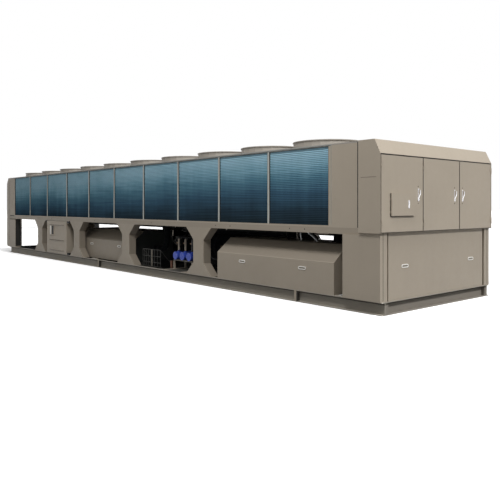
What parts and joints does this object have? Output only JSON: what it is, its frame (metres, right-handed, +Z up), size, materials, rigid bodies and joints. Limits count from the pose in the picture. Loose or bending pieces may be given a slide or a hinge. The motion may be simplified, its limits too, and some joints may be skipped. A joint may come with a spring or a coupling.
{
  "type": "air-cooled screw chiller",
  "caption": "Long packaged outdoor water chiller: finned condenser coils on hourglass legs, roof fans in rings, electrical cabinet at one end.",
  "frame": {"origin": "centre of the ground rectangle under the whole machine, on the ground", "axes": "+Z up, +X along the machine towards the electrical cabinet, -Y towards the side with the louvred control box"},
  "size_m": [13.756, 2.744, 2.3],
  "materials": {
    "black_insulation": "closed-cell insulation, black, matt",
    "blue_shell_paint": "painted steel shell, blue, semi-gloss",
    "chrome_plate": "chrome-plated die casting, polished",
    "coated_fins": "fine coated aluminium fins, steel blue",
    "dark_base_paint": "painted structural steel, dark grey-brown, matt",
    "dark_fan_metal": "dark painted metal",
    "tan_paint": "powder-coated sheet steel, light taupe, semi-matt"
  },
  "bodies": {
    "frame": {"base_floor_beams": "dark_base_paint", "base_rail_far": "dark_base_paint", "base_rail_near": "dark_base_paint", "cabinet_shell": "tan_paint", "coil_far_1": "coated_fins", "coil_far_2": "coated_fins", "coil_far_3": "coated_fins", "coil_far_4": "coated_fins", "coil_far_5": "coated_fins", "coil_frame_far": "tan_paint", "coil_frame_near": "tan_paint", "coil_near_1": "coated_fins", "coil_near_2": "coated_fins", "coil_near_3": "coated_fins", "coil_near_4": "coated_fins", "coil_near_5": "coated_fins", "compressor_cover_1": "tan_paint", "compressor_cover_2": "tan_paint", "corner_post_far": "tan_paint", "corner_post_near": "tan_paint", "discharge_pipe": "black_insulation", "drier_stand": "tan_paint", "end_cover": "tan_paint", "end_housing": "tan_paint", "end_panel": "tan_paint", "evaporator": "black_insulation", "fan_deck_1": "tan_paint", "fan_deck_2": "tan_paint", "fan_deck_3": "tan_paint", "fan_deck_4": "tan_paint", "fan_deck_5": "tan_paint", "fan_set_1": "dark_fan_metal", "fan_set_2": "dark_fan_metal", "fan_set_3": "dark_fan_metal", "fan_set_4": "dark_fan_metal", "fan_set_5": "dark_fan_metal", "filter_driers": "blue_shell_paint", "leg_far_1": "tan_paint", "leg_far_2": "tan_paint", "leg_far_3": "tan_paint", "leg_far_4": "tan_paint", "leg_near_1": "tan_paint", "leg_near_2": "tan_paint", "leg_near_3": "tan_paint", "leg_near_4": "tan_paint", "liquid_pipes": "tan_paint", "mid_rail_far": "tan_paint", "mid_rail_near": "tan_paint", "plenum_floor": "dark_base_paint", "side_box": "tan_paint", "suction_pipe": "black_insulation"},
    "door_left": {"cabinet_door_left": "tan_paint", "door_latch_left": "chrome_plate"},
    "door_middle": {"cabinet_door_middle": "tan_paint", "door_latch_middle": "chrome_plate"},
    "door_right": {"cabinet_door_right": "tan_paint", "door_latch_right": "chrome_plate"},
    "door_hatch": {"operator_hatch": "tan_paint", "hatch_latch": "chrome_plate"},
    "box_door": {"side_box_door": "tan_paint"}
  },
  "joints": [
    {"name": "cabinet_door_left_swing", "type": "hinge", "parent": "frame", "child": "door_left", "pos_m": [6.8505, -1.356, 1.5], "axis": [0, 0, -1], "range_deg": [0, 110]},
    {"name": "cabinet_door_middle_swing", "type": "hinge", "parent": "frame", "child": "door_middle", "pos_m": [6.8505, -0.44667, 1.5], "axis": [0, 0, -1], "range_deg": [0, 110]},
    {"name": "cabinet_door_right_swing", "type": "hinge", "parent": "frame", "child": "door_right", "pos_m": [6.8505, 1.356, 1.5], "axis": [0, 0, 1], "range_deg": [0, 110]},
    {"name": "operator_hatch_swing", "type": "hinge", "parent": "door_left", "child": "door_hatch", "pos_m": [6.866, -1.17167, 1.38], "axis": [0, 0, -1], "range_deg": [0, 110]},
    {"name": "side_box_door_swing", "type": "hinge", "parent": "frame", "child": "box_door", "pos_m": [-2.565, -1.321, 0.58], "axis": [0, 0, 1], "range_deg": [0, 110]}
  ]
}
